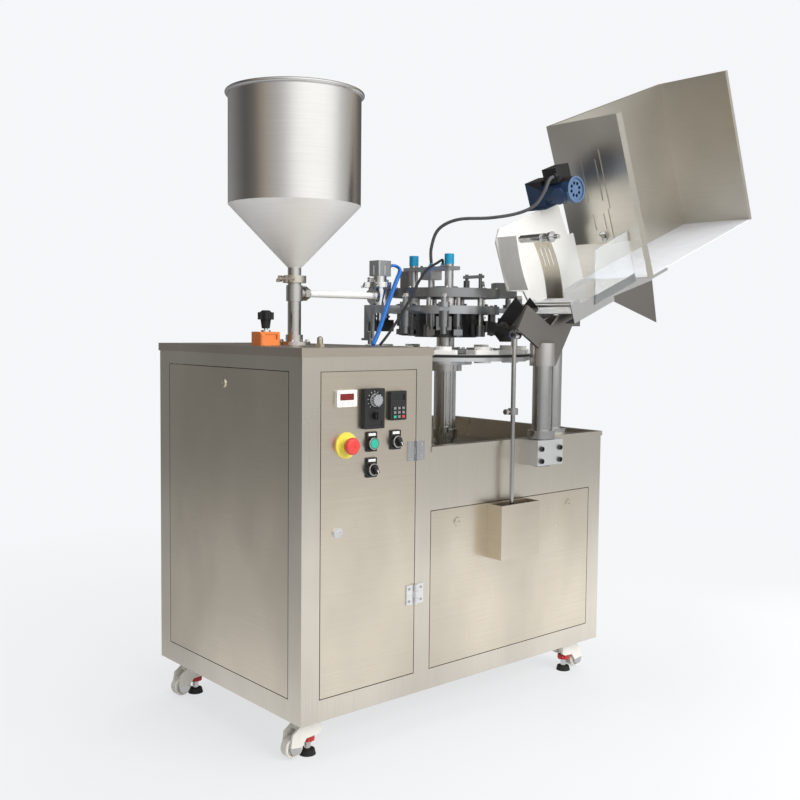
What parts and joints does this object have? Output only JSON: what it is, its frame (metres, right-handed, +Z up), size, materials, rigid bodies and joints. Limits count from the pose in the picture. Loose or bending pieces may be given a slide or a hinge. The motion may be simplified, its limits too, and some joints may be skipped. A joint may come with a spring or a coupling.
{
  "type": "tube filling machine",
  "caption": "Cabinet machine with hopper, rotary dial of tube cups under a lifting tooling head, and an inclined tube magazine feeding a flip trough.",
  "frame": {"origin": "on the floor, under the middle of the machine's outline box", "axes": "+X to the operator's right, towards the magazine; +Y from the door to the back; +Z up"},
  "size_m": [1.5974, 0.786, 1.7565],
  "materials": {
    "stainless_sheet": "satin",
    "polished_steel": "polished",
    "aluminium": "satin",
    "tool_steel": "satin",
    "dark_metal": "satin",
    "motor_paint": "gloss",
    "black_plastic": "matte",
    "white_plastic": "satin",
    "nylon": "satin",
    "grey_plastic": "satin",
    "yellow_plastic": "gloss",
    "red_plastic": "gloss",
    "green_plastic": "gloss",
    "orange_plastic": "gloss",
    "clear_acrylic": "polished",
    "cable_jacket": "matte",
    "blue_hose": "gloss"
  },
  "bodies": {
    "frame": {"tall_casing": "stainless_sheet", "low_casing": "stainless_sheet", "top_cover": "stainless_sheet", "panels": "stainless_sheet", "deck": "stainless_sheet", "hinge_leaves": "polished_steel", "hopper": "stainless_sheet", "standpipe": "polished_steel", "pipe_clamp": "stainless_sheet", "feed_pipe": "white_plastic", "indicator": "orange_plastic", "main_column": "polished_steel", "guide_posts": "polished_steel", "tooling_table": "tool_steel", "fill_valve": "polished_steel", "air_cylinder": "aluminium", "columns": "polished_steel", "column_block": "aluminium", "mag_bed": "stainless_sheet", "hood": "stainless_sheet", "mag_window": "clear_acrylic", "chute_boards": "white_plastic", "guide_band": "stainless_sheet", "gear_motor": "motor_paint", "guard_box": "stainless_sheet", "motor_cable": "cable_jacket", "hose_a": "blue_hose", "hose_b": "blue_hose", "sensor_cable": "cable_jacket"},
    "door": {"door": "stainless_sheet", "counter": "grey_plastic", "speed_unit": "black_plastic", "keypad": "black_plastic", "switch_bezels": "black_plastic", "estop_ring": "yellow_plastic"},
    "dial": {"dial": "aluminium", "cups_1": "white_plastic", "cups_2": "white_plastic", "cups_3": "white_plastic"},
    "door_lock": {"door_lock": "polished_steel"},
    "speed_knob": {"speed_knob": "aluminium"},
    "estop_head": {"estop_head": "red_plastic"},
    "green_button": {"green_button": "green_plastic"},
    "selector_a": {"selector_a": "black_plastic"},
    "selector_b": {"selector_b": "black_plastic"},
    "star_knob": {"star_knob": "black_plastic"},
    "tooling_head": {"tooling_head": "tool_steel"},
    "jaw_inner": {"jaw_inner": "tool_steel"},
    "jaw_outer": {"jaw_outer": "tool_steel"},
    "gate": {"gate": "stainless_sheet"},
    "trough": {"trough": "dark_metal"},
    "push_rod": {"push_rod": "polished_steel"},
    "caster_1": {"caster_1": "nylon"},
    "wheel_1": {"wheel_1": "nylon"},
    "caster_2": {"caster_2": "nylon"},
    "wheel_2": {"wheel_2": "nylon"},
    "caster_3": {"caster_3": "nylon"},
    "wheel_3": {"wheel_3": "nylon"},
    "caster_4": {"caster_4": "nylon"},
    "wheel_4": {"wheel_4": "nylon"}
  },
  "joints": [
    {"name": "door_hinge", "type": "hinge", "parent": "frame", "child": "door", "pos_m": [-0.46019, -0.2625, 0.518], "axis": [0, 0, 1], "range_deg": [0, 110]},
    {"name": "door_lock_turn", "type": "hinge", "parent": "door", "child": "door_lock", "pos_m": [-0.69719, -0.257, 0.525], "axis": [0, 1, 0], "range_deg": [0, 90]},
    {"name": "speed_knob_turn", "type": "hinge", "parent": "door", "child": "speed_knob", "pos_m": [-0.60019, -0.257, 0.823], "axis": [0, 1, 0], "range_deg": [-140, 140]},
    {"name": "estop_press", "type": "slide", "parent": "door", "child": "estop_head", "axis": [0, 1, 0], "range_m": [0, 0.004]},
    {"name": "green_button_press", "type": "slide", "parent": "door", "child": "green_button", "axis": [0, 1, 0], "range_m": [0, 0.0025], "stiffness_N_per_m": 400, "springref_m": -0.0025},
    {"name": "selector_a_turn", "type": "hinge", "parent": "door", "child": "selector_a", "pos_m": [-0.52719, -0.257, 0.722], "axis": [0, 1, 0], "range_deg": [0, 60]},
    {"name": "selector_b_turn", "type": "hinge", "parent": "door", "child": "selector_b", "pos_m": [-0.60019, -0.257, 0.662], "axis": [0, 1, 0], "range_deg": [0, 60]},
    {"name": "star_knob_turn", "type": "hinge", "parent": "frame", "child": "star_knob", "pos_m": [-0.68319, 0.05506, 0.978], "axis": [0, 0, 1], "continuous": true},
    {"name": "dial_index", "type": "hinge", "parent": "frame", "child": "dial", "pos_m": [-0.10719, 0.015, 0.903], "axis": [0, 0, 1], "continuous": true},
    {"name": "head_lift", "type": "slide", "parent": "frame", "child": "tooling_head", "axis": [0, 0, 1], "range_m": [0, 0.02]},
    {"name": "jaw_inner_close", "type": "slide", "parent": "frame", "child": "jaw_inner", "axis": [0.2588, 0.9659, 0], "range_m": [0, 0.005]},
    {"name": "jaw_outer_close", "type": "slide", "parent": "frame", "child": "jaw_outer", "axis": [0.2588, 0.9659, 0], "range_m": [-0.005, 0]},
    {"name": "gate_height", "type": "slide", "parent": "frame", "child": "gate", "axis": [-0.3584, 0, 0.9336], "range_m": [-0.05, 0.03]},
    {"name": "trough_flip", "type": "hinge", "parent": "frame", "child": "trough", "pos_m": [-0.05414, -0.19301, 0.993], "axis": [-1, 0, 0], "range_deg": [-20, 44]},
    {"name": "push_rod_pin", "type": "hinge", "parent": "trough", "child": "push_rod", "pos_m": [-0.14619, -0.28203, 0.97408], "axis": [-1, 0, 0], "range_deg": [-44, 20]},
    {"name": "caster_1_swivel", "type": "hinge", "parent": "frame", "child": "caster_1", "pos_m": [-0.72919, -0.191, 0.088], "axis": [0, 0, 1], "continuous": true},
    {"name": "wheel_1_roll", "type": "hinge", "parent": "caster_1", "child": "wheel_1", "pos_m": [-0.77319, -0.191, 0.028], "axis": [0, 1, 0], "continuous": true},
    {"name": "caster_2_swivel", "type": "hinge", "parent": "frame", "child": "caster_2", "pos_m": [0.18681, -0.191, 0.088], "axis": [0, 0, 1], "continuous": true},
    {"name": "wheel_2_roll", "type": "hinge", "parent": "caster_2", "child": "wheel_2", "pos_m": [0.23081, -0.191, 0.028], "axis": [0, 1, 0], "continuous": true},
    {"name": "caster_3_swivel", "type": "hinge", "parent": "frame", "child": "caster_3", "pos_m": [-0.72919, 0.324, 0.088], "axis": [0, 0, 1], "continuous": true},
    {"name": "wheel_3_roll", "type": "hinge", "parent": "caster_3", "child": "wheel_3", "pos_m": [-0.77319, 0.324, 0.028], "axis": [0, 1, 0], "continuous": true},
    {"name": "caster_4_swivel", "type": "hinge", "parent": "frame", "child": "caster_4", "pos_m": [0.18681, 0.324, 0.088], "axis": [0, 0, 1], "continuous": true},
    {"name": "wheel_4_roll", "type": "hinge", "parent": "caster_4", "child": "wheel_4", "pos_m": [0.23081, 0.324, 0.028], "axis": [0, 1, 0], "continuous": true}
  ],
  "couplings": [
    {"joint": "jaw_outer_close", "follows": "jaw_inner_close", "ratio": -1},
    {"joint": "push_rod_pin", "follows": "trough_flip", "ratio": -1}
  ]
}
